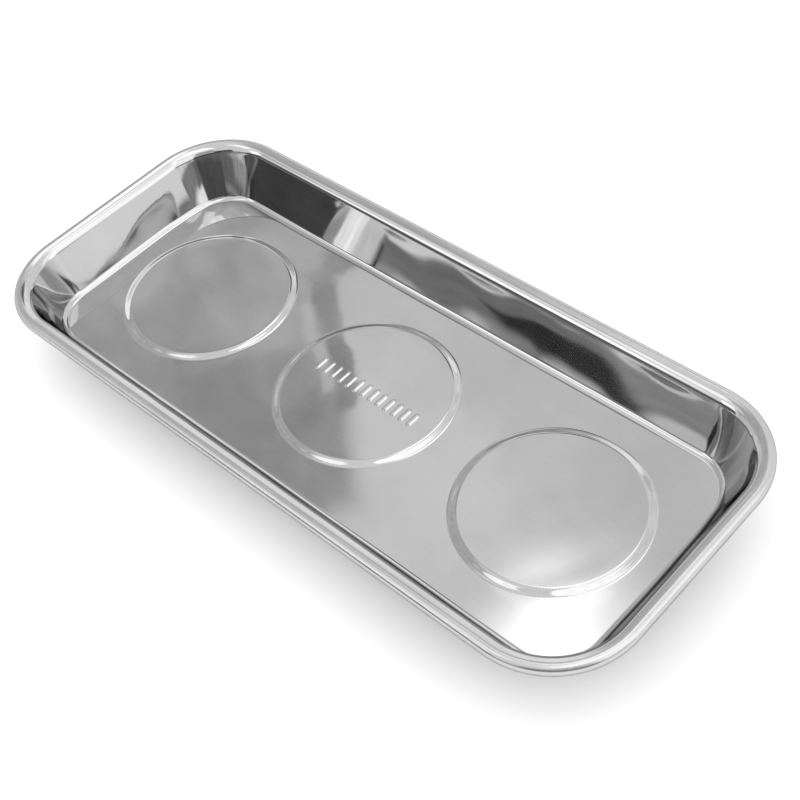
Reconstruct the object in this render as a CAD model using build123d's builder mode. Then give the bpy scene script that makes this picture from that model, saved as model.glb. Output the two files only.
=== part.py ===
from build123d import *

import os
from math import atan2, cos, degrees, hypot, radians, sin, sqrt

# Magnetic parts tray: one pan pressed from polished stainless sheet, with a rolled rim and three
# raised discs in its floor. Under each disc a ring magnet sits in a steel cup, held by a stud
# welded to the pan, and a rubber boot covers it and makes the foot that the tray stands on.
#
# Millimetres, +Z up. X runs along the tray and Y across it. The origin is the centre of the rest
# plane, which is the underside of the three boots.

# ---- Pan ----
tray_length = 360.0
tray_width = 159.0
corner_radius = 41.0  # in plan, at the rim's outer edge
sheet = 0.6
rim_rise = 22.7  # floor to the centre of the rim's curl
floor_inset = 20.0  # rim's outer edge to the flat floor
wall_draft = 23.0  # degrees from upright
foot_radius = 3.5  # hollow corner between wall and floor
curl_radius = 3.0
curl_edge_angle = -35.0  # where the curled edge ends, tucked under the rim
roll_radius = 6.0  # rounded shoulder between rim and wall
roll_drop = 0.1  # shoulder's crest below the curl's crest
valley_radius = 0.8  # shallow valley between curl and shoulder

# ---- Raised discs ----
station_count = 3
station_pitch = 107.0
disc_rise = 1.2
disc_radius = 40.0  # flat top
disc_foot_radius = 43.5  # where the sloped ring meets the floor
disc_edge_radius = 1.2  # softening of the slope's two edges
disc_border = 1.5  # flat margin pressed with each disc

# ---- Row of ribs stamped across the middle disc ----
rib_count = 13
rib_pitch = 4.8
rib_length = 8.0
rib_width = 2.2
rib_rise = 0.7
rib_taper = 25.0
rib_wall = 0.55  # sheet left beside the hollow under a rib

# ---- Magnet, cup and boot ----
boot_floor = 1.5
boot_wall = 1.8
boot_gap = 0.2  # round the cup
boot_top_gap = 0.3  # below the pan
boot_edge_radius = 1.2
boot_hole_radius = 9.0  # lets a socket reach the nut
groove_count = 3
first_groove_radius = 15.0
groove_pitch = 7.0
groove_width = 1.4
groove_depth = 0.5
magnet_radius = 35.5
magnet_bore_radius = 16.0
magnet_thickness = 10.0
magnet_chamfer = 1.0
cup_sheet = 1.2
cup_gap = 0.3  # glue line round the magnet
cup_lip_gap = 0.3  # cup's lip above the magnet's working face
cup_bend_radius = 1.8
cup_hole_radius = 3.6

# ---- M5 fastening ----
stud_radius = 2.5
stud_flange_radius = 3.25
stud_flange_height = 0.8
stud_tip_chamfer = 0.6
stud_end_margin = 1.0  # thread showing past the nut
washer_radius = 7.5
washer_bore_radius = 2.65
washer_thickness = 1.2
spring_washer_radius = 4.6
spring_washer_bore_radius = 2.6
spring_washer_thickness = 1.2
spring_washer_split = 0.8
nut_across_flats = 8.0
nut_height = 4.7
nut_bore_radius = 2.55
nut_chamfer_height = 0.4
nut_chamfer_width = 0.6

# ---- Levels, from the rest plane up ----
magnet_low = boot_floor
cup_low = magnet_low + cup_lip_gap
cup_base_low = magnet_low + magnet_thickness
disc_underside = cup_base_low + cup_sheet
disc_top = disc_underside + sheet
floor_top = disc_top - disc_rise
floor_underside = floor_top - sheet
curl_level = floor_top + rim_rise
boot_top = disc_underside - boot_top_gap
washer_low = cup_base_low - washer_thickness
spring_washer_low = washer_low - spring_washer_thickness
nut_low = spring_washer_low - nut_height
stud_low = nut_low - stud_end_margin

# ---- Radii of the nested round pieces ----
cup_inner_radius = magnet_radius + cup_gap
cup_radius = cup_inner_radius + cup_sheet
boot_inner_radius = cup_radius + boot_gap
boot_radius = boot_inner_radius + boot_wall

# ---- Pan's cross-section: x is the distance in from the rim's outer edge, y the height ----
# The wall is a straight line. The hollow foot and the shoulder are both tangent to it.
wall_normal = (cos(radians(wall_draft)), sin(radians(wall_draft)))
foot_centre = (floor_inset, floor_top + foot_radius)
curl_centre = (curl_radius, curl_level)
roll_level = curl_level + curl_radius - roll_drop - roll_radius
roll_inset = foot_centre[0] - (
    foot_radius + roll_radius + (roll_level - foot_centre[1]) * wall_normal[1]
) / wall_normal[0]
roll_centre = (roll_inset, roll_level)

# The valley's arc touches the curl and the shoulder from above.
crest_span = hypot(roll_centre[0] - curl_centre[0], roll_centre[1] - curl_centre[1])
crest_line = ((roll_centre[0] - curl_centre[0]) / crest_span, (roll_centre[1] - curl_centre[1]) / crest_span)
curl_reach = curl_radius + valley_radius
roll_reach = roll_radius + valley_radius
valley_along = (crest_span**2 + curl_reach**2 - roll_reach**2) / (2 * crest_span)
valley_above = sqrt(curl_reach**2 - valley_along**2)
valley_centre = (
    curl_centre[0] + valley_along * crest_line[0] - valley_above * crest_line[1],
    curl_centre[1] + valley_along * crest_line[1] + valley_above * crest_line[0],
)
curl_to_valley = degrees(atan2(valley_centre[1] - curl_centre[1], valley_centre[0] - curl_centre[0]))
roll_to_valley = degrees(atan2(valley_centre[1] - roll_centre[1], valley_centre[0] - roll_centre[0]))
curl_wrap = 360 + curl_edge_angle - curl_to_valley

floor_joint = floor_inset + foot_radius  # where the pressed edge meets the flat floor
disc_joint_radius = disc_foot_radius + disc_border


def sheet_face(depth):
    """Line of one face of the sheet, depth below its upper face, from the curled edge to the floor."""
    curl = CenterArc(curl_centre, curl_radius - depth, curl_edge_angle, -curl_wrap)
    CenterArc(valley_centre, valley_radius + depth, curl_to_valley + 180, roll_to_valley - curl_to_valley)
    roll = CenterArc(roll_centre, roll_radius - depth, roll_to_valley, wall_draft - roll_to_valley)
    foot = CenterArc(foot_centre, foot_radius + depth, 180 + wall_draft, 90 - wall_draft)
    Line(roll @ 1, foot @ 0)
    floor_end = (floor_joint, floor_top - depth)
    Line(foot @ 1, floor_end)
    return curl @ 0, floor_end


def disc_face(level):
    """Line of one face of a raised disc, from its axis out to the floor."""
    floor_level = level - disc_rise
    FilletPolyline(
        (0, level),
        (disc_radius, level),
        (disc_foot_radius, floor_level),
        (disc_joint_radius, floor_level),
        radius=disc_edge_radius,
    )
    return (0, level), (disc_joint_radius, floor_level)


def upright_plane(x):
    """Upright plane through a station's axis: sketch x is the radius, sketch y the height."""
    return Plane(origin=(x, 0, 0), x_dir=(1, 0, 0), z_dir=(0, -1, 0))


# ---- Pan ----
near_middle = Plane(origin=(0, -tray_width / 2, 0), x_dir=(0, 1, 0), z_dir=(1, 0, 0))
station_x = [station_pitch * (i - (station_count - 1) / 2) for i in range(station_count)]

with BuildPart() as tray_pan:
    # Rim and wall: the cross-section follows half the outline, and the other half mirrors it.
    with BuildLine() as half_outline:
        FilletPolyline(
            (0, -tray_width / 2),
            (tray_length / 2, -tray_width / 2),
            (tray_length / 2, tray_width / 2),
            (0, tray_width / 2),
            radius=corner_radius,
        )
    with BuildSketch(near_middle) as edge_section:
        with BuildLine() as edge_line:
            upper_ends = sheet_face(0)
            lower_ends = sheet_face(sheet)
            for upper_end, lower_end in zip(upper_ends, lower_ends):
                Line(upper_end, lower_end)
        make_face()
    sweep(path=half_outline.line)
    mirror(about=Plane.YZ)

    # Floor, open where the discs go.
    with BuildSketch(Plane.XY.offset(floor_underside)) as floor_outline:
        RectangleRounded(
            tray_length - 2 * floor_joint,
            tray_width - 2 * floor_joint,
            corner_radius - floor_joint,
        )
        with GridLocations(station_pitch, 0, station_count, 1):
            Circle(disc_joint_radius, mode=Mode.SUBTRACT)
    extrude(amount=sheet)

    # Raised discs.
    for x in station_x:
        with BuildSketch(upright_plane(x)) as disc_section:
            with BuildLine() as disc_line:
                upper_ends = disc_face(disc_top)
                lower_ends = disc_face(disc_underside)
                for upper_end, lower_end in zip(upper_ends, lower_ends):
                    Line(upper_end, lower_end)
            make_face()
        revolve(axis=Axis((x, 0, 0), (0, 0, 1)))

    # Stamped ribs: raised above the middle disc, hollow beneath it.
    with BuildSketch(Plane.XY.offset(disc_top)) as rib_outlines:
        with GridLocations(rib_pitch, 0, rib_count, 1):
            SlotOverall(rib_length, rib_width, rotation=90)
    extrude(amount=rib_rise, taper=rib_taper)
    with BuildSketch(Plane.XY.offset(disc_underside)) as rib_hollows:
        with GridLocations(rib_pitch, 0, rib_count, 1):
            SlotOverall(rib_length - 2 * rib_wall, rib_width - 2 * rib_wall, rotation=90)
    extrude(amount=rib_rise, mode=Mode.SUBTRACT)

tray_pan.part.label = "tray_pan"


# ---- One station: cup, magnet and boot ----
def magnet_cup(x):
    """Pressed steel cup, open side down, with a hole in its base that clears the stud's flange."""
    with BuildPart() as cup:
        with BuildSketch(Plane(origin=(x, 0, cup_low))):
            Circle(cup_radius)
        extrude(amount=disc_underside - cup_low)
        base_edge = cup.edges().filter_by(GeomType.CIRCLE).sort_by(Axis.Z)[-1]
        fillet(base_edge, radius=cup_bend_radius)
        with BuildSketch(Plane(origin=(x, 0, cup_low))):
            Circle(cup_inner_radius)
        extrude(amount=cup_base_low - cup_low, mode=Mode.SUBTRACT)
        ceiling_edge = cup.faces().filter_by(Axis.Z).sort_by(Axis.Z)[-2].outer_wire().edges()
        fillet(ceiling_edge, radius=cup_bend_radius - cup_sheet)
        with Locations((x, 0, disc_underside)):
            Hole(cup_hole_radius)
    return cup


def ring_magnet(x):
    """Ferrite ring with chamfered rims."""
    with BuildPart() as magnet:
        with BuildSketch(Plane(origin=(x, 0, magnet_low))):
            Circle(magnet_radius)
            Circle(magnet_bore_radius, mode=Mode.SUBTRACT)
        extrude(amount=magnet_thickness)
        chamfer(magnet.edges().filter_by(GeomType.CIRCLE), length=magnet_chamfer)
    return magnet


def rubber_boot(x):
    """Soft cap over cup and magnet, with a hole for the nut and grip grooves in its sole."""
    with BuildPart() as boot:
        with BuildSketch(Plane(origin=(x, 0, 0))):
            Circle(boot_radius)
            Circle(boot_hole_radius, mode=Mode.SUBTRACT)
        extrude(amount=boot_top)
        with BuildSketch(Plane(origin=(x, 0, boot_floor))):
            Circle(boot_inner_radius)
        extrude(amount=boot_top - boot_floor, mode=Mode.SUBTRACT)
        sole_edge = boot.edges().group_by(Axis.Z)[0].sort_by(SortBy.RADIUS)[-1]
        fillet(sole_edge, radius=boot_edge_radius)
        with BuildSketch(Plane(origin=(x, 0, 0))):
            for groove in reversed(range(groove_count)):
                groove_radius = first_groove_radius + groove * groove_pitch
                Circle(groove_radius + groove_width)
                Circle(groove_radius, mode=Mode.SUBTRACT)
        extrude(amount=groove_depth, mode=Mode.SUBTRACT)
    return boot


# ---- Fastening, alike at every station ----
with BuildPart() as weld_studs:
    with BuildSketch(Plane.XY.offset(disc_underside)) as stud_flanges:
        with GridLocations(station_pitch, 0, station_count, 1):
            Circle(stud_flange_radius)
    extrude(amount=-stud_flange_height)
    with BuildSketch(Plane.XY.offset(disc_underside)) as stud_shanks:
        with GridLocations(station_pitch, 0, station_count, 1):
            Circle(stud_radius)
    extrude(amount=stud_low - disc_underside)
    chamfer(weld_studs.edges().group_by(Axis.Z)[0], length=stud_tip_chamfer)

weld_studs.part.label = "weld_studs"

with BuildPart() as plain_washers:
    with BuildSketch(Plane.XY.offset(washer_low)) as washer_outlines:
        with GridLocations(station_pitch, 0, station_count, 1):
            Circle(washer_radius)
            Circle(washer_bore_radius, mode=Mode.SUBTRACT)
    extrude(amount=washer_thickness)

plain_washers.part.label = "plain_washers"

with BuildPart() as spring_washers:
    with BuildSketch(Plane.XY.offset(spring_washer_low)) as spring_washer_outlines:
        with GridLocations(station_pitch, 0, station_count, 1):
            Circle(spring_washer_radius)
            Circle(spring_washer_bore_radius, mode=Mode.SUBTRACT)
            with Locations((spring_washer_radius, 0)):
                Rectangle(2 * spring_washer_radius, spring_washer_split, mode=Mode.SUBTRACT)
    extrude(amount=spring_washer_thickness)

spring_washers.part.label = "spring_washers"

# The envelope's chamfers round off the hexagon's corners at both ends.
nut_corner_radius = nut_across_flats / 2 / cos(radians(30))
with BuildPart() as nut_envelopes:
    with GridLocations(station_pitch, 0, station_count, 1):
        with Locations((0, 0, nut_low)):
            Cylinder(nut_corner_radius, nut_height, align=(Align.CENTER, Align.CENTER, Align.MIN))
    chamfer(
        nut_envelopes.edges().filter_by(GeomType.CIRCLE),
        length=nut_chamfer_height,
        length2=nut_chamfer_width,
    )

with BuildPart() as hex_nuts:
    with BuildSketch(Plane.XY.offset(nut_low)) as nut_outlines:
        with GridLocations(station_pitch, 0, station_count, 1):
            RegularPolygon(nut_across_flats / 2, 6, major_radius=False)
            Circle(nut_bore_radius, mode=Mode.SUBTRACT)
    extrude(amount=nut_height)
    add(nut_envelopes.part, mode=Mode.INTERSECT)

hex_nuts.part.label = "hex_nuts"

# ---- Files ----
os.makedirs("parts", exist_ok=True)

for name, x in zip(("left", "middle", "right"), station_x):
    cup = magnet_cup(x)
    cup.part.label = f"{name}_magnet_cup"
    export_step(cup.part, f"parts/{name}_magnet_cup.step")
    magnet = ring_magnet(x)
    magnet.part.label = f"{name}_ring_magnet"
    export_step(magnet.part, f"parts/{name}_ring_magnet.step")
    boot = rubber_boot(x)
    boot.part.label = f"{name}_rubber_boot"
    export_step(boot.part, f"parts/{name}_rubber_boot.step")

export_step(tray_pan.part, "parts/tray_pan.step")
export_step(weld_studs.part, "parts/weld_studs.step")
export_step(plain_washers.part, "parts/plain_washers.step")
export_step(spring_washers.part, "parts/spring_washers.step")
export_step(hex_nuts.part, "parts/hex_nuts.step")
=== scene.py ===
from math import atan2, ceil, cos, hypot, pi, radians, sin, sqrt, tan

import bmesh
import bpy
import numpy as np
from mathutils import Matrix, Vector
from mathutils.geometry import delaunay_2d_cdt

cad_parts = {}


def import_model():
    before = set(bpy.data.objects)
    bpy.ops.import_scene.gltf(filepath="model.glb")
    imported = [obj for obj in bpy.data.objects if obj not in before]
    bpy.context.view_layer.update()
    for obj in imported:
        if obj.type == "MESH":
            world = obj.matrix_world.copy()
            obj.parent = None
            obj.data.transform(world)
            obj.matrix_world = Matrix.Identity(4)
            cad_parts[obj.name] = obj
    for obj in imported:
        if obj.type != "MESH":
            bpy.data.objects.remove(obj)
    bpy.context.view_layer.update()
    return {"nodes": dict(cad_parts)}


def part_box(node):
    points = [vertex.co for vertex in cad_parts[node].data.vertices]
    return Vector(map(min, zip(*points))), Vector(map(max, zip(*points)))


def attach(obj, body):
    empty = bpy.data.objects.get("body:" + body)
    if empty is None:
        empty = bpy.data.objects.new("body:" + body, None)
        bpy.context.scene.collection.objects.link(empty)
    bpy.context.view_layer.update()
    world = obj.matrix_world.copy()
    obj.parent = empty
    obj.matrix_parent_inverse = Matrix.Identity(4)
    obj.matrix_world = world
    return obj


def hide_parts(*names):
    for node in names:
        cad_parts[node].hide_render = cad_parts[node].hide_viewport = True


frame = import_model()

MM = 0.001

# ---------------------------------------------------------------- sizes taken from the frame
pan_low, pan_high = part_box("tray_pan")
LENGTH = pan_high.x - pan_low.x
WIDTH = pan_high.y - pan_low.y
STATIONS = ("left", "middle", "right")
station_x = [sum(c.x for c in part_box(name + "_magnet_cup")) / 2 for name in STATIONS]
cup_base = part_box("middle_magnet_cup")[1].z

# Pan, as the CAD part has it
CORNER_RADIUS = 41 * MM
SHEET = 0.6 * MM
CURL_RADIUS = 3 * MM
CURL_EDGE_ANGLE = radians(-35)
ROLL_RADIUS = 6 * MM
ROLL_DROP = 0.1 * MM
VALLEY_RADIUS = 0.8 * MM
WALL_DRAFT = radians(23)
FOOT_RADIUS = 3.5 * MM
FLOOR_INSET = 20 * MM
DISC_RISE = 1.2 * MM
DISC_RADIUS = 40 * MM
DISC_FOOT_RADIUS = 43.5 * MM
disc_top = cup_base + SHEET
floor_top = disc_top - DISC_RISE
curl_level = pan_high.z - CURL_RADIUS
floor_joint = FLOOR_INSET + FOOT_RADIUS

# Row of ribs across the middle disc
RIB_COUNT = 13
RIB_PITCH = 4.8 * MM
RIB_LENGTH = 8 * MM
RIB_WIDTH = 2.2 * MM
RIB_RISE = 0.7 * MM


# ---------------------------------------------------------------- meshes
def new_object(name, points, faces, normals=None):
    """A smooth-shaded mesh object, with its own vertex normals where they are given."""
    mesh = bpy.data.meshes.new(name)
    mesh.from_pydata([tuple(p) for p in points], [], faces)
    mesh.polygons.foreach_set("use_smooth", [True] * len(mesh.polygons))
    if normals is not None:
        mesh.normals_split_custom_set_from_vertices([tuple(n) for n in normals])
    thing = bpy.data.objects.new(name, mesh)
    bpy.context.scene.collection.objects.link(thing)
    return thing


def stands_for(thing, node, material):
    """Puts the piece on the object's body in place of a CAD node."""
    thing.data.materials.append(material)
    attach(thing, "root")
    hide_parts(node)


def arc(centre, radius, start, end, count):
    """Points and outward normals along an arc, both ends included."""
    angles = np.linspace(start, end, count)
    normals = np.stack([np.cos(angles), np.sin(angles)], 1)
    return np.array(centre) + radius * normals, normals


def smooth_step(t):
    """0 below 0, 1 above 1, with level ends."""
    t = np.clip(t, 0, 1)
    return t * t * (3 - 2 * t)


# ---------------------------------------------------------------- pan's cross-section
# Points along the foot, wall, roll, valley and curl of each face
UPPER_STEPS = (12, 14, 18, 6, 40)
LOWER_STEPS = (8, 8, 9, 4, 20)
SHEET_EDGE_STEPS = 7


def pan_face(depth, steps):
    """One face of the sheet from the floor to the curled edge, depth below its upper face.

    Points are (distance in from the rim's outer edge, height), with the upper face's normals."""
    foot_centre = np.array([FLOOR_INSET, floor_top + FOOT_RADIUS])
    curl_centre = np.array([CURL_RADIUS, curl_level])
    roll_level = curl_level + CURL_RADIUS - ROLL_DROP - ROLL_RADIUS
    reach = FOOT_RADIUS + ROLL_RADIUS + (roll_level - foot_centre[1]) * sin(WALL_DRAFT)
    roll_centre = np.array([foot_centre[0] - reach / cos(WALL_DRAFT), roll_level])

    span = np.linalg.norm(roll_centre - curl_centre)
    line = (roll_centre - curl_centre) / span
    curl_reach = CURL_RADIUS + VALLEY_RADIUS
    roll_reach = ROLL_RADIUS + VALLEY_RADIUS
    along = (span**2 + curl_reach**2 - roll_reach**2) / (2 * span)
    above = sqrt(curl_reach**2 - along**2)
    valley_centre = curl_centre + along * line + above * np.array([-line[1], line[0]])
    curl_angle = atan2(*(valley_centre - curl_centre)[::-1])
    roll_angle = atan2(*(valley_centre - roll_centre)[::-1])

    foot, foot_out = arc(foot_centre, FOOT_RADIUS + depth, 1.5 * pi, pi + WALL_DRAFT, steps[0])
    roll, roll_out = arc(roll_centre, ROLL_RADIUS - depth, WALL_DRAFT, roll_angle, steps[2])
    valley, valley_out = arc(
        valley_centre, VALLEY_RADIUS + depth, roll_angle - pi, curl_angle - pi, steps[3]
    )
    curl, curl_out = arc(
        curl_centre, CURL_RADIUS - depth, curl_angle, 2 * pi + CURL_EDGE_ANGLE, steps[4]
    )
    wall = foot[-1] + (roll[0] - foot[-1]) * np.linspace(0, 1, steps[1] + 2)[1:-1, None]
    wall_out = np.tile(roll_out[0], (len(wall), 1))
    joint = np.array([[floor_joint, floor_top - depth]])
    points = np.concatenate([joint, foot, wall, roll, valley[1:], curl[1:]])
    normals = np.concatenate([[[0, 1]], -foot_out, wall_out, roll_out, -valley_out[1:], curl_out[1:]])
    return points, normals


def pan_section():
    """The sheet's closed cross-section less its floor end: upper face, rounded edge, lower face."""
    upper, upper_out = pan_face(0, UPPER_STEPS)
    lower, lower_out = pan_face(SHEET, LOWER_STEPS)
    middle = (upper[-1] + lower[-1]) / 2
    turn = atan2(*upper_out[-1][::-1])
    edge, edge_out = arc(middle, SHEET / 2, turn, turn + pi, SHEET_EDGE_STEPS)
    points = np.concatenate([upper, edge[1:-1], lower[::-1]])
    normals = np.concatenate([upper_out, edge_out[1:-1], -lower_out[::-1]])
    return points, normals


# ---------------------------------------------------------------- pan's outline
CORNER_STEPS = 48
RUN_STEP = 4 * MM


def outline():
    """Stations round the rim: the corner circle's centre under each, and the outward direction."""
    half_x = LENGTH / 2 - CORNER_RADIUS
    half_y = WIDTH / 2 - CORNER_RADIUS
    centres, directions = [], []
    corners = [(half_x, half_y), (-half_x, half_y), (-half_x, -half_y), (half_x, -half_y)]
    for k, corner in enumerate(corners):
        start = k * pi / 2
        for angle in np.linspace(start, start + pi / 2, CORNER_STEPS + 1):
            centres.append(corner)
            directions.append((cos(angle), sin(angle)))
        after = corners[(k + 1) % 4]
        run = hypot(after[0] - corner[0], after[1] - corner[1])
        steps = ceil(run / RUN_STEP)
        for step in range(1, steps):
            share = step / steps
            centres.append([a + share * (b - a) for a, b in zip(corner, after)])
            directions.append((cos(start + pi / 2), sin(start + pi / 2)))
    return np.array(centres), np.array(directions)


def rim_frame(x, y):
    """Distance in from the rim's outer edge, and the outward direction there."""
    over_x = np.abs(x) - (LENGTH / 2 - CORNER_RADIUS)
    over_y = np.abs(y) - (WIDTH / 2 - CORNER_RADIUS)
    in_corner = (over_x > 0) & (over_y > 0)
    out_x = np.where(in_corner, over_x, over_x > over_y)
    out_y = np.where(in_corner, over_y, over_x <= over_y)
    length = np.hypot(out_x, out_y)
    reach = np.where(in_corner, length, np.maximum(over_x, over_y))
    return CORNER_RADIUS - reach, np.sign(x) * out_x / length, np.sign(y) * out_y / length


# ---------------------------------------------------------------- how pressing leaves the sheet uneven
BACK_SPRING = 1.5 * MM  # the back wall has sprung open, so its foot lies further in
BACK_HOLLOW = 0.4 * MM
BACK_START = 20 * MM  # how far behind the middle the back wall's lean starts, and over what run
BACK_RUN = 30 * MM
WALL_WANDER = 0.12 * MM
WANDER_LENGTH = 150 * MM
WALL_RIPPLE = 0.04 * MM
RIPPLE_LENGTH = 62 * MM
FLOOR_WAVE = 0.08 * MM
FLOOR_WAVE_LENGTH = 190 * MM
FLOOR_DISH = 0.06 * MM  # the floor turns up beside the wall
DISH_WIDTH = 9 * MM
DISC_CROWN = 0.10 * MM
PUCKER = 0.05 * MM  # ripples left in and round each disc by its stamping
PUCKER_WIDTH = 9 * MM
PUCKER_LENGTH = 60 * MM
SHOULDER_DROP = 2 * MM  # the rim keeps its place down to here
FLOOR_MARGIN = 2 * MM  # the wall's movement is whole from this height above the floor down
FLOOR_SHARE = 18 * MM  # how far into the floor the wall's movement reaches
SLOPE_STEP = 0.05 * MM


def waves(x, y, seed, longest, count):
    """A smooth irregular field of height about 1: plane waves, each shorter than the last."""
    random = np.random.default_rng(seed)
    total = 0
    for k in range(count):
        shrink = 0.7**k
        angle, phase = random.uniform(0, 2 * pi, 2)
        along = x * cos(angle) + y * sin(angle)
        total = total + shrink * np.sin(2 * pi * along / (longest * shrink) + phase)
    return total


def floor_lift(x, y, inset):
    """Height that the floor's unevenness adds to it."""
    lift = FLOOR_WAVE * waves(x, y, 3, FLOOR_WAVE_LENGTH, 4)
    lift += FLOOR_DISH * np.clip((floor_joint + DISH_WIDTH - inset) / DISH_WIDTH, 0, 1.6) ** 2
    for k, centre in enumerate(station_x):
        radius = np.hypot(x - centre, y)
        lift += DISC_CROWN * smooth_step(1 - radius / DISC_FOOT_RADIUS)
        near_ring = np.exp(-(((radius - DISC_RADIUS) / PUCKER_WIDTH) ** 2))
        lift += PUCKER * near_ring * waves(x, y, 20 + k, PUCKER_LENGTH, 3)
    return lift


def warp(points):
    """Where each point of the ideal pan lies on the pressed one. The rim keeps its place."""
    x, y, z = points.T
    inset, out_x, out_y = rim_frame(x, y)
    shoulder = curl_level - SHOULDER_DROP
    depth = np.clip((shoulder - z) / (shoulder - floor_top - FLOOR_MARGIN), 0, 1)
    belly = 4 * depth * (1 - depth)
    beside_wall = smooth_step((floor_joint + FLOOR_SHARE - inset) / FLOOR_SHARE)
    behind = smooth_step((y - BACK_START) / BACK_RUN)
    push = behind * (BACK_HOLLOW * belly - BACK_SPRING * depth * beside_wall)
    push += WALL_WANDER * depth * beside_wall * waves(x, 2.3 * y, 5, WANDER_LENGTH, 3)
    push += WALL_RIPPLE * belly * waves(x, 1.7 * y, 11, RIPPLE_LENGTH, 3)
    lift = smooth_step(depth) * floor_lift(x, y, inset)
    return points + np.stack([push * out_x, push * out_y, lift], 1)


def warped(points, normals):
    """Points and normals of a surface after warp."""
    slopes = [
        (warp(points + SLOPE_STEP * axis) - warp(points - SLOPE_STEP * axis)) / (2 * SLOPE_STEP)
        for axis in np.eye(3)
    ]
    turned_normals = np.linalg.solve(np.stack(slopes, 1), normals[:, :, None])[:, :, 0]
    return warp(points), turned_normals / np.linalg.norm(turned_normals, axis=1, keepdims=True)


# ---------------------------------------------------------------- pan's floor
SLOPE_OVERRUN = 0.1  # how far each disc's rounded slope runs past its foot and top, of its width
RIB_SHOULDER = 0.8 * MM
RIB_SPREAD = 0.2 * MM  # how far a rib's foot runs past its width
RING_STEP = 0.4 * MM
RING_MARGIN = 1.4 * MM
RING_POINTS = 192
GRID_STEP = 2.6 * MM
RIB_OFFSETS = np.linspace(0.3, 1.4, 7) * MM  # distances of the loops of points from a rib's middle line
RIB_LOOP_POINTS = 18
RIB_LINE_POINTS = 9
RIB_CLEARING = 2 * MM  # no grid point lies closer to a rib
MERGE_DISTANCE = 1e-7


def rib_distance(x, y):
    """Distance from the nearest rib's middle line."""
    half_row = (RIB_COUNT - 1) / 2
    row = np.clip(np.round((x - station_x[1]) / RIB_PITCH), -half_row, half_row)
    nearest = station_x[1] + row * RIB_PITCH
    half_line = (RIB_LENGTH - RIB_WIDTH) / 2
    return np.hypot(x - nearest, y - np.clip(y, -half_line, half_line))


def floor_rise(x, y):
    """Height of the discs and ribs above the floor's flat level."""
    height = np.zeros_like(x)
    for centre in station_x:
        radius = np.hypot(x - centre, y)
        slope = (DISC_FOOT_RADIUS - radius) / (DISC_FOOT_RADIUS - DISC_RADIUS)
        height += DISC_RISE * smooth_step((slope + SLOPE_OVERRUN) / (1 + 2 * SLOPE_OVERRUN))
    return height + RIB_RISE * smooth_step((RIB_WIDTH / 2 + RIB_SPREAD - rib_distance(x, y)) / RIB_SHOULDER)


def floor_normals(x, y):
    step = 0.02 * MM
    slope_x = (floor_rise(x + step, y) - floor_rise(x - step, y)) / (2 * step)
    slope_y = (floor_rise(x, y + step) - floor_rise(x, y - step)) / (2 * step)
    normals = np.stack([-slope_x, -slope_y, np.ones_like(x)], 1)
    return normals / np.linalg.norm(normals, axis=1, keepdims=True)


def ring_points(centre_x, radius, count, offset):
    angles = (np.arange(count) + offset) * 2 * pi / count
    return np.stack([centre_x + radius * np.cos(angles), radius * np.sin(angles)], 1)


def floor_points():
    """Points inside the floor: rings along each disc's slope, loops round each rib, a coarse grid."""
    points = []
    ring_radii = np.arange(DISC_RADIUS - RING_MARGIN, DISC_FOOT_RADIUS + RING_MARGIN, RING_STEP)
    for centre in station_x:
        for k, radius in enumerate(ring_radii):
            points.append(ring_points(centre, radius, RING_POINTS, k % 2 / 2))
    half_line = (RIB_LENGTH - RIB_WIDTH) / 2
    for k in range(RIB_COUNT):
        x = station_x[1] + (k - (RIB_COUNT - 1) / 2) * RIB_PITCH
        for offset in RIB_OFFSETS:
            loop = ring_points(0, offset, RIB_LOOP_POINTS, 0.5)
            loop[:, 1] += np.sign(loop[:, 1]) * half_line
            loop[:, 0] += x
            points.append(loop)
            for y in np.linspace(-half_line, half_line, RIB_LINE_POINTS)[1:-1]:
                points.append(np.array([[x - offset, y], [x + offset, y]]))
    half_x = LENGTH / 2 - floor_joint
    half_y = WIDTH / 2 - floor_joint
    rows = np.arange(-half_y, half_y, GRID_STEP * sin(pi / 3))
    columns = np.arange(-half_x, half_x, GRID_STEP)
    x, y = np.meshgrid(columns, rows)
    x[1::2] += GRID_STEP / 2
    x, y = x.ravel(), y.ravel()
    inset = rim_frame(x, y)[0]
    radius = np.min([np.hypot(x - centre, y) for centre in station_x], 0)
    in_slope = (radius > ring_radii[0] - GRID_STEP / 2) & (radius < ring_radii[-1] + GRID_STEP / 2)
    kept = (inset > floor_joint + GRID_STEP / 2) & ~in_slope & (rib_distance(x, y) > RIB_CLEARING)
    points.append(np.stack([x[kept], y[kept]], 1))
    return np.concatenate(points)


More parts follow.
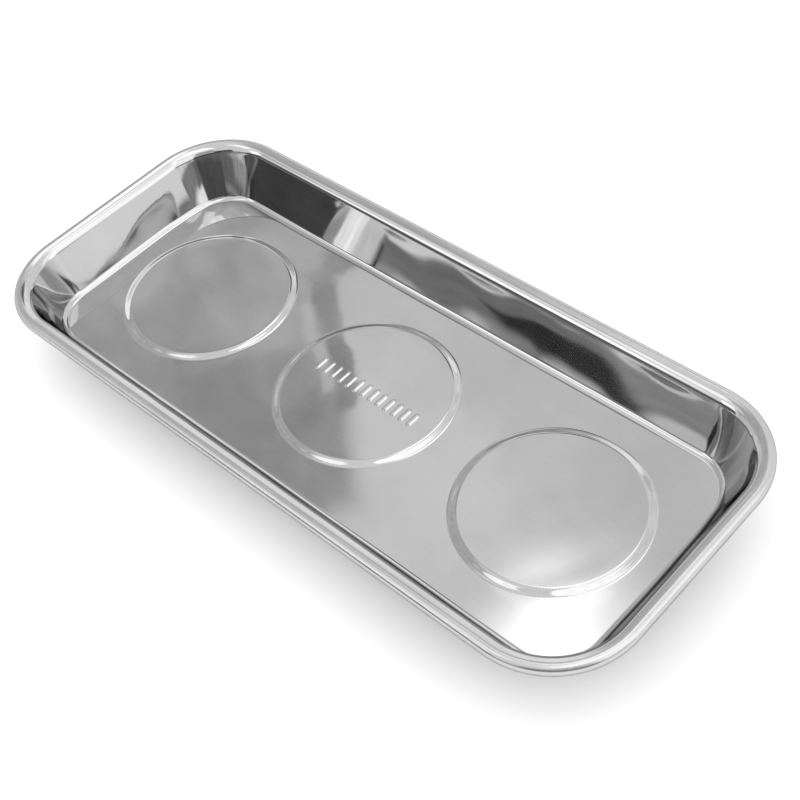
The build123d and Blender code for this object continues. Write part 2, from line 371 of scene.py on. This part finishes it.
def tray_pan():
    """The whole pan as one closed mesh: swept edge, and the floor's two faces meshed inside it."""
    section, section_out = pan_section()
    centres, directions = outline()
    stations = len(centres)
    count = len(section)
    reach = CORNER_RADIUS - section[:, 0]
    xy = centres[:, None, :] + reach[None, :, None] * directions[:, None, :]
    z = np.broadcast_to(section[:, 1], (stations, count))
    points = np.concatenate([xy, z[:, :, None]], 2).reshape(-1, 3)
    normal_xy = -section_out[None, :, 0, None] * directions[:, None, :]
    normal_z = np.broadcast_to(section_out[:, 1], (stations, count))
    normals = np.concatenate([normal_xy, normal_z[:, :, None]], 2).reshape(-1, 3)
    faces = []
    for i in range(stations):
        a, b = i * count, (i + 1) % stations * count
        faces += [(a + j, a + j + 1, b + j + 1, b + j) for j in range(count - 1)]

    flat = [Vector(p) for p in np.concatenate([xy[:, 0], floor_points()])]
    edge_loop = list(range(stations))
    verts, _, triangles, origins, _, _ = delaunay_2d_cdt(flat, [], [edge_loop], 1, MERGE_DISTANCE)
    rim_of = {k: o[0] for k, o in enumerate(origins) if o and o[0] < stations}
    x, y = np.array([tuple(v) for v in verts]).T
    for level, sign, ring in ((floor_top, 1, 0), (floor_top - SHEET, -1, count - 1)):
        base = len(points)
        points = np.concatenate([points, np.stack([x, y, level + floor_rise(x, y)], 1)])
        normals = np.concatenate([normals, sign * floor_normals(x, y)])
        index = [rim_of[k] * count + ring if k in rim_of else base + k for k in range(len(verts))]
        faces += [tuple(index[v] for v in t[::sign]) for t in triangles]
    used = np.zeros(len(points), bool)
    for face in faces:
        used[list(face)] = True
    place = np.cumsum(used) - 1
    faces = [tuple(int(place[v]) for v in face) for face in faces]
    points, normals = warped(points[used], normals[used])
    return new_object("pressed_pan", points, faces, normals)


# ---------------------------------------------------------------- round pieces under the pan
BOOT_FLOOR = 1.5 * MM
BOOT_WALL = 1.8 * MM
BOOT_HOLE_RADIUS = 9 * MM
GROOVE_COUNT = 3
FIRST_GROOVE_RADIUS = 15 * MM
GROOVE_PITCH = 7 * MM
GROOVE_WIDTH = 1.4 * MM
GROOVE_DEPTH = 0.5 * MM
GROOVE_SLANT = 0.15 * MM
LIP_STEP = 0.35 * MM  # the boot's wall is set back under a thicker lip
LIP_HEIGHT = 2.2 * MM
STUD_RADIUS = 2.5 * MM
STUD_FLANGE_HEIGHT = 0.8 * MM
STUD_TIP = 0.6 * MM
THREAD_PITCH = 0.8 * MM
THREAD_DEPTH = 0.4 * MM
WASHER_BORE = 2.65 * MM
SPRING_BORE = 2.6 * MM
SPRING_SPLIT = radians(12)
EDGE = 0.2 * MM  # softening of a washer's edges
NUT_BEVEL_SHARE = 0.96  # bevel's inner edge, of the distance to a flat
NUT_BEVEL_ANGLE = radians(30)
NUT_CLEARANCE = 0.05 * MM
NUT_LEAD = 0.35 * MM
WELD_DISTANCE = 0.0001 * MM
SHARP_ANGLE = radians(35)

# Softening of the boot's edges
BOOT_HOLE_EDGE = 0.35 * MM
GROOVE_EDGE = 0.1 * MM
SOLE_EDGE = 1.2 * MM
UNDER_LIP_EDGE = 0.5 * MM
LIP_EDGE = 0.4 * MM
BOOT_TOP_EDGE = 0.6 * MM
BOOT_INNER_EDGE = 0.8 * MM

# Steps round each kind of piece
BOOT_TURN_STEPS = 160
WASHER_TURN_STEPS = 96
SPRING_TURN_STEPS = 72
NUT_TURN_STEPS = 144
STUD_TURN_STEPS = 72
THREAD_STEPS = 8


def rounded(corners, steps=6):
    """A closed outline through corners given as (x, y, radius), each rounded to its radius."""
    points = []
    for k, (x, y, radius) in enumerate(corners):
        here = np.array([x, y])
        before = np.array(corners[k - 1][:2]) - here
        after = np.array(corners[(k + 1) % len(corners)][:2]) - here
        before /= np.linalg.norm(before)
        after /= np.linalg.norm(after)
        half = np.arccos(np.clip(before @ after, -1, 1)) / 2
        centre = here + (before + after) / np.linalg.norm(before + after) * radius / sin(half)
        first = here + before * radius / tan(half) - centre
        last = here + after * radius / tan(half) - centre
        start = atan2(first[1], first[0])
        turn = (atan2(last[1], last[0]) - start + pi) % (2 * pi) - pi
        points.append(arc(centre, radius, start, start + turn, steps)[0])
    return np.concatenate(points)


def turned(outline_at, angles, closed=True):
    """Points and faces of an outline carried round the Z axis.

    outline_at(angle) gives (radius, height) points, counterclockwise, the same number each time."""
    rows = [outline_at(angle) for angle in angles]
    count = len(rows[0])
    points = [(r * cos(a), r * sin(a), z) for a, row in zip(angles, rows) for r, z in row]
    faces = []
    for i in range(len(rows) if closed else len(rows) - 1):
        a, b = i * count, (i + 1) % len(rows) * count
        faces += [(a + j, b + j, b + (j + 1) % count, a + (j + 1) % count) for j in range(count)]
    if not closed:
        last = (len(rows) - 1) * count
        faces.append(tuple(range(count)))
        faces.append(tuple(range(last, last + count))[::-1])
    return np.array(points), faces


def full_turn(count):
    return np.arange(count) * 2 * pi / count


def placed(name, piece, centres):
    """One object with a copy of the piece at each centre along X. Its sharp edges stay sharp."""
    points, faces = piece
    every_point = np.concatenate([points + np.array([centre, 0, 0]) for centre in centres])
    every_face = [tuple(v + k * len(points) for v in face) for k in range(len(centres)) for face in faces]
    thing = new_object(name, every_point, every_face)
    mesh = bmesh.new()
    mesh.from_mesh(thing.data)
    bmesh.ops.remove_doubles(mesh, verts=mesh.verts, dist=WELD_DISTANCE)
    mesh.to_mesh(thing.data)
    mesh.free()
    thing.data.set_sharp_from_angle(angle=SHARP_ANGLE)
    return thing


def half_size(node):
    """Outer radius of a node's round pieces, and the heights of their two ends."""
    low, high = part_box(node)
    return (high.y - low.y) / 2, low.z, high.z


def boot_outline():
    """Sole with grip grooves and the nut's hole, wall with soft edges and a thicker lip."""
    outer, low, top = half_size("middle_rubber_boot")
    inner = outer - BOOT_WALL
    corners = [(BOOT_HOLE_RADIUS, low, BOOT_HOLE_EDGE)]
    for k in range(GROOVE_COUNT):
        start = FIRST_GROOVE_RADIUS + k * GROOVE_PITCH
        corners.append((start, low, GROOVE_EDGE))
        corners.append((start + GROOVE_SLANT, low + GROOVE_DEPTH, GROOVE_EDGE))
        corners.append((start + GROOVE_WIDTH - GROOVE_SLANT, low + GROOVE_DEPTH, GROOVE_EDGE))
        corners.append((start + GROOVE_WIDTH, low, GROOVE_EDGE))
    corners += [
        (outer - LIP_STEP, low, SOLE_EDGE),
        (outer - LIP_STEP, top - LIP_HEIGHT - LIP_STEP, UNDER_LIP_EDGE),
        (outer, top - LIP_HEIGHT, LIP_EDGE),
        (outer, top, BOOT_TOP_EDGE),
        (inner, top, LIP_EDGE),
        (inner, low + BOOT_FLOOR, BOOT_INNER_EDGE),
        (BOOT_HOLE_RADIUS, low + BOOT_FLOOR, BOOT_HOLE_EDGE),
    ]
    return rounded(corners)


def washer_outline(node, bore):
    outer, low, high = half_size(node)
    return rounded([(bore, low, EDGE), (outer, low, EDGE), (outer, high, EDGE), (bore, high, EDGE)])


def spring_washer():
    """A split ring whose two ends are cut square, drawn pressed flat."""
    ring = washer_outline("spring_washers", SPRING_BORE)
    angles = np.linspace(SPRING_SPLIT / 2, 2 * pi - SPRING_SPLIT / 2, SPRING_TURN_STEPS)
    return turned(lambda angle: ring, angles, closed=False)


def nut_outline(angle):
    """The hexagonal nut's section at an angle, with both ends chamfered down to its flats."""
    flat, low, high = half_size("hex_nuts")
    reach = flat / cos((angle + pi / 6) % (pi / 3) - pi / 6)
    bevel = NUT_BEVEL_SHARE * flat
    drop = (reach - bevel) * tan(NUT_BEVEL_ANGLE)
    bore = STUD_RADIUS + NUT_CLEARANCE
    mouth = bore + NUT_LEAD
    return np.array([
        (bore, low + NUT_LEAD), (mouth, low), (bevel, low), (reach, low + drop),
        (reach, high - drop), (bevel, high), (mouth, high), (bore, high - NUT_LEAD),
    ])


def stud_outline(angle):
    """Stud with its thread, a chamfered tip and the flange that is welded to the pan."""
    flange, low, high = half_size("weld_studs")
    shank_top = high - STUD_FLANGE_HEIGHT
    heights = np.arange(low, shank_top, THREAD_PITCH / THREAD_STEPS)
    phase = ((heights - low) / THREAD_PITCH - angle / (2 * pi)) % 1
    groove = np.clip(1.2 * np.abs(2 * phase - 1) - 0.1, 0, 1) * THREAD_DEPTH
    radii = np.minimum(STUD_RADIUS - groove, STUD_RADIUS - STUD_TIP + heights - low)
    ends = [(STUD_RADIUS, shank_top), (flange, shank_top), (flange, high), (0, high), (0, low)]
    return np.concatenate([np.stack([radii, heights], 1), ends])


# ---------------------------------------------------------------- materials
CURL_HAZE = 0.2  # roughness that handling adds to the curled edge
PAINTED_DARK_OUTLINE_TINT = (0.35, 0.35, 0.35, 1)  # painted shade: the steel reflects less where it is seen edge-on, which draws a dark outline along its edges


class Nodes:
    """Builds shader nodes by name, so that a material reads as a list of steps."""

    def __init__(self, tree):
        self.tree = tree

    def add(self, kind, inputs=None, **settings):
        node = self.tree.nodes.new(kind)
        for name, value in settings.items():
            setattr(node, name, value)
        for name, value in (inputs or {}).items():
            if isinstance(value, bpy.types.NodeSocket):
                self.tree.links.new(value, node.inputs[name])
            else:
                node.inputs[name].default_value = value
        return node

    def math(self, operation, *values):
        """Result of a Math node on numbers or sockets."""
        return self.add("ShaderNodeMath", dict(enumerate(values)), operation=operation).outputs[0]

    def spread(self, value, low, high, to_low=0.0, to_high=1.0):
        """Value carried smoothly from low..high to to_low..to_high."""
        inputs = {"Value": value, "From Min": low, "From Max": high, "To Min": to_low, "To Max": to_high}
        return self.add("ShaderNodeMapRange", inputs, interpolation_type="SMOOTHSTEP").outputs[0]

    def blend(self, share, first, second):
        """First where share is 0, second where it is 1."""
        return self.add("ShaderNodeMix", {"Factor": share, "A": first, "B": second}).outputs[0]

    def noise(self, place, scale, detail=2.0, stretch=(1, 1, 1), roughness=0.5):
        """A noise pattern; place is in metres and scale is in cells per metre."""
        mapping = self.add("ShaderNodeMapping", {"Vector": place, "Scale": stretch})
        inputs = {"Vector": mapping.outputs[0], "Scale": scale, "Detail": detail, "Roughness": roughness}
        return self.add("ShaderNodeTexNoise", inputs).outputs["Fac"]

    def bump(self, height, distance, strength=1.0, normal=None):
        inputs = {"Height": height, "Distance": distance, "Strength": strength}
        if normal is not None:
            inputs["Normal"] = normal
        return self.add("ShaderNodeBump", inputs).outputs["Normal"]

    def grey(self, value):
        """A colour of equal parts from one value."""
        return self.add("ShaderNodeCombineColor", {0: value, 1: value, 2: value}).outputs[0]


def new_material(name):
    """An empty material: its nodes, its surface shader and the object coordinates."""
    material = bpy.data.materials.new(name)
    material.use_nodes = True
    nodes = Nodes(material.node_tree)
    shader = material.node_tree.nodes["Principled BSDF"]
    place = nodes.add("ShaderNodeTexCoord").outputs["Object"]
    return material, nodes, shader, place


def set_inputs(nodes, shader, inputs):
    for name, value in inputs.items():
        if isinstance(value, bpy.types.NodeSocket):
            nodes.tree.links.new(value, shader.inputs[name])
        else:
            shader.inputs[name].default_value = value


def rim_inset(nodes, place):
    """Distance in from the rim's outer edge, as rim_frame gives it."""
    axes = nodes.add("ShaderNodeSeparateXYZ", {0: place}).outputs
    over_x = nodes.math("SUBTRACT", nodes.math("ABSOLUTE", axes[0]), LENGTH / 2 - CORNER_RADIUS)
    over_y = nodes.math("SUBTRACT", nodes.math("ABSOLUTE", axes[1]), WIDTH / 2 - CORNER_RADIUS)
    out_x = nodes.math("POWER", nodes.math("MAXIMUM", over_x, 0.0), 2.0)
    out_y = nodes.math("POWER", nodes.math("MAXIMUM", over_y, 0.0), 2.0)
    corner_reach = nodes.math("SQRT", nodes.math("ADD", out_x, out_y))
    inside = nodes.math("MINIMUM", nodes.math("MAXIMUM", over_x, over_y), 0.0)
    return nodes.math("SUBTRACT", CORNER_RADIUS, nodes.math("ADD", corner_reach, inside))


def steel_material():
    """Polished stainless sheet: faint rolling grain along the tray, cloudy patches and fine pits.

    The curled edge is duller, with small marks from handling."""
    material, nodes, shader, place = new_material("polished_stainless")
    grain = nodes.noise(place, 1300, 3, stretch=(0.08, 1, 1))
    clouds = nodes.noise(place, 38, 3)
    pits = nodes.noise(place, 2600, 2)
    marks = nodes.noise(place, 500, 2)
    curled = nodes.spread(rim_inset(nodes, place), 5 * MM, 3.5 * MM)
    haze = nodes.spread(clouds, 0.3, 0.7, 0.02, 0.05)
    fine_haze = nodes.spread(grain, 0.3, 0.7, 0, 0.02)
    dulled = nodes.math("MULTIPLY", curled, nodes.spread(marks, 0.3, 0.7, CURL_HAZE - 0.01, CURL_HAZE + 0.01))
    roughness = nodes.math("ADD", nodes.math("ADD", haze, fine_haze), dulled)
    cloud_tone = nodes.spread(clouds, 0.25, 0.75, 0.83, 0.88)
    marked = nodes.math("MULTIPLY", curled, nodes.spread(marks, 0.3, 0.7, -0.01, 0.005))
    grain_tone = nodes.spread(grain, 0.3, 0.7, -0.006, 0.006)
    tone = nodes.math("ADD", nodes.math("ADD", cloud_tone, grain_tone), marked)
    peel = nodes.bump(nodes.noise(place, 70, 2), 0.010 * MM)
    grain_bump = nodes.bump(grain, 0.0001 * MM, normal=peel)
    pit_bump = nodes.bump(pits, 0.00004 * MM, normal=grain_bump)
    set_inputs(nodes, shader, {
        "Metallic": 1.0,
        "Base Color": nodes.grey(tone),
        # painted shade: the specular tint dims edge-on reflections to draw a dark outline round the steel
        "Specular Tint": PAINTED_DARK_OUTLINE_TINT,
        "Roughness": roughness,
        "Normal": pit_bump,
    })
    return material


def rubber_material():
    """Black moulded rubber, with a fine grain, dusty patches and paler rubbed edges."""
    material, nodes, shader, place = new_material("moulded_rubber")
    grain = nodes.noise(place, 1800, 3)
    dust = nodes.noise(place, 60, 4, roughness=0.65)
    scuffs = nodes.noise(place, 260, 3, stretch=(1, 0.25, 1))
    edge = nodes.add("ShaderNodeNewGeometry").outputs["Pointiness"]
    rubbed = nodes.spread(edge, 0.51, 0.58)
    marks = nodes.math("ADD", nodes.spread(scuffs, 0.58, 0.72, 0, 0.02), nodes.math("MULTIPLY", rubbed, 0.03))
    tone = nodes.math("ADD", nodes.spread(dust, 0.4, 0.75, 0.02, 0.05), marks)
    fine = nodes.spread(grain, 0.3, 0.7, -0.04, 0.04)
    roughness = nodes.math("ADD", nodes.spread(dust, 0.3, 0.7, 0.5, 0.68), fine)
    shallow = nodes.bump(nodes.noise(place, 220, 2), 0.02 * MM)
    set_inputs(nodes, shader, {
        "Base Color": nodes.grey(tone),
        "Roughness": roughness,
        "Specular IOR Level": 0.35,
        "Normal": nodes.bump(grain, 0.015 * MM, normal=shallow),
    })
    return material


def metal_material(name, tone, roughness, tint=(1, 1, 1), grain_scale=1400, spangle_scale=420):
    """Plated or machined metal: crystalline patches, fine grain and small dull marks."""
    material, nodes, shader, place = new_material(name)
    spangle = nodes.add("ShaderNodeTexVoronoi", {"Vector": place, "Scale": spangle_scale}).outputs["Distance"]
    clouds = nodes.noise(place, 160, 3)
    grain = nodes.noise(place, grain_scale, 3)
    flecks = nodes.spread(spangle, 0, 0.6, -0.02, 0.03)
    level = nodes.math("ADD", nodes.spread(clouds, 0.3, 0.7, tone - 0.06, tone + 0.04), flecks)
    channels = {k: nodes.math("MULTIPLY", level, share) for k, share in enumerate(tint)}
    colour = nodes.add("ShaderNodeCombineColor", channels).outputs[0]
    fine = nodes.spread(grain, 0.3, 0.7, -0.03, 0.03)
    rough = nodes.math("ADD", nodes.spread(clouds, 0.3, 0.7, roughness - 0.06, roughness + 0.08), fine)
    set_inputs(nodes, shader, {
        "Metallic": 1.0,
        "Base Color": colour,
        "Roughness": rough,
        "Normal": nodes.bump(grain, 0.002 * MM),
    })
    return material


def ferrite_material():
    """Sintered ferrite: dark grey, dull, with a sandy surface and small chips."""
    material, nodes, shader, place = new_material("sintered_ferrite")
    sand = nodes.noise(place, 2400, 4, roughness=0.7)
    chips = nodes.add("ShaderNodeTexVoronoi", {"Vector": place, "Scale": 700.0}).outputs["Distance"]
    chipped = nodes.spread(chips, 0, 0.15, 0.03, 0)
    tone = nodes.math("ADD", nodes.spread(sand, 0.3, 0.7, 0.035, 0.075), chipped)
    rough_bump = nodes.bump(chips, 0.02 * MM)
    set_inputs(nodes, shader, {
        "Metallic": 0.2,
        "Base Color": nodes.grey(tone),
        "Roughness": nodes.spread(sand, 0.2, 0.8, 0.55, 0.75),
        "Normal": nodes.bump(sand, 0.01 * MM, normal=rough_bump),
    })
    return material


# ---------------------------------------------------------------- studio round the tray
# What the steel reflects: soft panels given by their middle azimuth and elevation, half width and
# half height, the softness of their edges (all in degrees) and their brightness.
# Azimuth 0 faces the tray's front (-Y) and 90 its right end (+X).
ROOM_LEVEL = 0.66
PANELS = (
    ("overhead_light", (98, 80), (70, 18), 8, 1.15),
    ("right_softbox", (106, 40), (34, 22), 12, 0.97),
    ("right_strip_light", (118, 34), (6, 22), 6, 1.1),
    ("backdrop", (-92, 35), (44, 26), 8, 0.41),
    ("backdrop_foot", (-78, 16), (27, 10), 8, 0.56),
    ("left_card", (-147, 18), (18, 20), 8, 0.80),
    ("left_wall", (-139, 50), (13.5, 7.5), 1.5, 0.58),
    ("ceiling_light", (176, 80), (24, 4.5), 2, 1.1),
    ("left_lamp", (-150, 64.5), (15, 7.5), 6, 1.4),
    ("curtain", (-120, 49), (6, 3), 3, 0.32),
    ("wall_edge", (-126, 45.5), (0.9, 3.5), 0.4, 0.28),
    ("edge_light", (-124.5, 45.5), (0.5, 1.8), 0.5, 0.52),
    ("grey_card", (-147, 40.5), (9.5, 5.5), 1.5, 0.27),
    ("low_card", (-140.5, 37.5), (8, 4.5), 2, 0.18),
    ("dark_card", (-144.3, 41.5), (4, 3.4), 1.2, 0.03),
    ("window", (-34, 28), (9, 11), 4, 1.15),
    ("high_window", (-40, 61), (15, 12), 4, 1.05),
    ("blind", (-52, 46), (10, 8), 6, 0.74),
    ("work_table", (29, 12), (47, 7), 5, 0.13),
    ("table_corner", (0, 9), (12, 5), 6, 0.29),
    ("table_front", (54, 18.5), (22, 8.5), 4, 0.07),
    ("shelf", (79, 13.2), (5, 4.4), 1.5, 0.13),
    ("side_card", (95, 12.5), (14, 4.5), 3, 0.2),
    ("bench", (-29, 8), (14, 12), 3, 0.10),
    ("photographer", (24, 27), (16, 8), 5, 0.06),
    ("tripod", (56, 40), (18, 10), 10, 0.32),
)
FOLDS = 0.09  # how far the panels' cloth varies from their brightness
CREASES = 0.14  # the same, for the finer creases that show in the darker cloth
PALE = 1.0  # what the camera sees beyond the floor
FLOOR_LIGHT = 1.5  # the even light on everything rough
MIRRORED_FLOOR = 0.55  # the floor's tone in the steel's reflections
FLOOR_REACH = 4.0
SOLE_REACH = 3 * MM  # light passes the floor where it lies closer than this under a piece


def world():
    """The camera sees plain pale light and rough surfaces get even light; only reflections see the panels."""
    studio = bpy.data.worlds.new("studio")
    studio.use_nodes = True
    bpy.context.scene.world = studio
    nodes = Nodes(studio.node_tree)
    direction = nodes.add("ShaderNodeTexCoord").outputs["Generated"]
    axes = nodes.add("ShaderNodeSeparateXYZ", {0: direction}).outputs
    azimuth = nodes.math("DEGREES", nodes.math("ARCTAN2", axes[0], nodes.math("MULTIPLY", axes[1], -1.0)))
    elevation = nodes.math("DEGREES", nodes.math("ARCSINE", axes[2]))
    level = ROOM_LEVEL
    for _, (middle_azimuth, middle_elevation), (half_width, half_height), softness, brightness in PANELS:
        apart = nodes.math("SUBTRACT", azimuth, float(middle_azimuth))
        wrapped = nodes.math("ABSOLUTE", nodes.math("WRAP", apart, -180.0, 180.0))
        across = nodes.spread(wrapped, half_width + softness / 2, half_width - softness / 2)
        rise = nodes.math("ABSOLUTE", nodes.math("SUBTRACT", elevation, float(middle_elevation)))
        upright = nodes.spread(rise, half_height + softness / 2, half_height - softness / 2)
        inside = nodes.math("MULTIPLY", across, upright)
        level = nodes.blend(inside, level, brightness)
    folds = nodes.noise(direction, 9, 3, stretch=(1, 1, 0.35))
    creases = nodes.noise(direction, 24, 4, stretch=(1, 1, 0.5), roughness=0.6)
    dark_cloth = nodes.spread(level, 0.5, 0.42)
    creased = nodes.math("MULTIPLY", dark_cloth, nodes.spread(creases, 0.3, 0.7, -CREASES, CREASES))
    cloth = nodes.math("ADD", creased, nodes.spread(folds, 0.3, 0.7, 1 - FOLDS, 1 + FOLDS))
    level = nodes.math("MULTIPLY", level, cloth)
    path = nodes.add("ShaderNodeLightPath").outputs
    plain = nodes.blend(path["Is Camera Ray"], FLOOR_LIGHT, PALE)
    seen = nodes.blend(path["Is Glossy Ray"], plain, level)
    background = studio.node_tree.nodes["Background"]
    studio.node_tree.links.new(nodes.grey(seen), background.inputs["Color"])


def floor():
    """A pale floor under the boots, greyer in the steel's reflections.

    It is seen from above only and lets light reach the soles, so that the underside can be looked at."""
    corners = [(sx * FLOOR_REACH, sy * FLOOR_REACH, 0) for sx, sy in ((-1, -1), (1, -1), (1, 1), (-1, 1))]
    thing = new_object("floor", corners, [(0, 1, 2, 3)])
    material, nodes, shader, place = new_material("pale_floor")
    path = nodes.add("ShaderNodeLightPath").outputs
    paper = nodes.spread(nodes.noise(place, 3, 2), 0.2, 0.8, 0.90, 0.93)
    tone = nodes.blend(path["Is Glossy Ray"], paper, MIRRORED_FLOOR)
    set_inputs(nodes, shader, {"Base Color": nodes.grey(tone), "Roughness": 0.9, "Specular IOR Level": 0.1})
    hidden = nodes.add("ShaderNodeBsdfTransparent").outputs[0]
    back = nodes.add("ShaderNodeNewGeometry").outputs["Backfacing"]
    under_sole = nodes.math("LESS_THAN", path["Ray Length"], SOLE_REACH)
    open_share = nodes.math("MAXIMUM", back, under_sole)
    shown = nodes.add("ShaderNodeMixShader", {0: open_share, 1: shader.outputs[0], 2: hidden}).outputs[0]
    output = material.node_tree.nodes["Material Output"]
    material.node_tree.links.new(shown, output.inputs["Surface"])
    thing.data.materials.append(material)


CAMERA_AZIMUTH = radians(50.51)
CAMERA_ELEVATION = radians(48.49)
CAMERA_ROLL = radians(-10.47)
CAMERA_DISTANCE = 593.98 * MM
CAMERA_LENS = 62.32
AIM = Vector((30.87 * MM, -6.83 * MM, curl_level))


def camera():
    data = bpy.data.cameras.new("camera")
    data.lens = CAMERA_LENS
    data.clip_start = 0.01
    data.clip_end = 50
    thing = bpy.data.objects.new("camera", data)
    bpy.context.scene.collection.objects.link(thing)
    back = Vector((
        sin(CAMERA_AZIMUTH) * cos(CAMERA_ELEVATION),
        -cos(CAMERA_AZIMUTH) * cos(CAMERA_ELEVATION),
        sin(CAMERA_ELEVATION),
    ))
    turn = (-back).to_track_quat("-Z", "Y").to_matrix() @ Matrix.Rotation(CAMERA_ROLL, 3, "Z")
    thing.matrix_world = Matrix.Translation(AIM + CAMERA_DISTANCE * back) @ turn.to_4x4()
    bpy.context.scene.camera = thing


# ---------------------------------------------------------------- the tray
def small_pieces():
    """Boots, studs, washers and nuts, each a mesh in place of its CAD node."""
    outline_of_boot = boot_outline()
    for name, x in zip(STATIONS, station_x):
        piece = turned(lambda angle: outline_of_boot, full_turn(BOOT_TURN_STEPS))
        boot = placed(name + "_moulded_boot", piece, [x])
        stands_for(boot, name + "_rubber_boot", rubber)
    washer = washer_outline("plain_washers", WASHER_BORE)
    pieces = (
        ("round_washers", "plain_washers", turned(lambda angle: washer, full_turn(WASHER_TURN_STEPS)), zinc),
        ("split_washers", "spring_washers", spring_washer(), black_steel),
        ("hexagon_nuts", "hex_nuts", turned(nut_outline, full_turn(NUT_TURN_STEPS)), zinc),
        ("threaded_studs", "weld_studs", turned(stud_outline, full_turn(STUD_TURN_STEPS)), bare_steel),
    )
    for name, node, piece, material in pieces:
        stands_for(placed(name, piece, station_x), node, material)


def finish_cad_nodes():
    """Cups and magnets keep their CAD shape and get their own finishes."""
    for name in STATIONS:
        for kind, material in (("_magnet_cup", cup_plate), ("_ring_magnet", ferrite)):
            for slot in frame["nodes"][name + kind].material_slots:
                slot.material = material


rubber = rubber_material()
zinc = metal_material("zinc_plate", 0.62, 0.32, tint=(0.97, 0.99, 1.0))
black_steel = metal_material("oiled_spring_steel", 0.22, 0.38)
bare_steel = metal_material("stud_stainless", 0.58, 0.26, spangle_scale=900.0)
cup_plate = metal_material("cup_plate", 0.55, 0.34, tint=(1.0, 0.985, 0.95), spangle_scale=300.0)
ferrite = ferrite_material()

pan = tray_pan()
stands_for(pan, "tray_pan", steel_material())
small_pieces()
finish_cad_nodes()
world()
floor()
camera()
bpy.context.scene.view_settings.view_transform = "Standard"
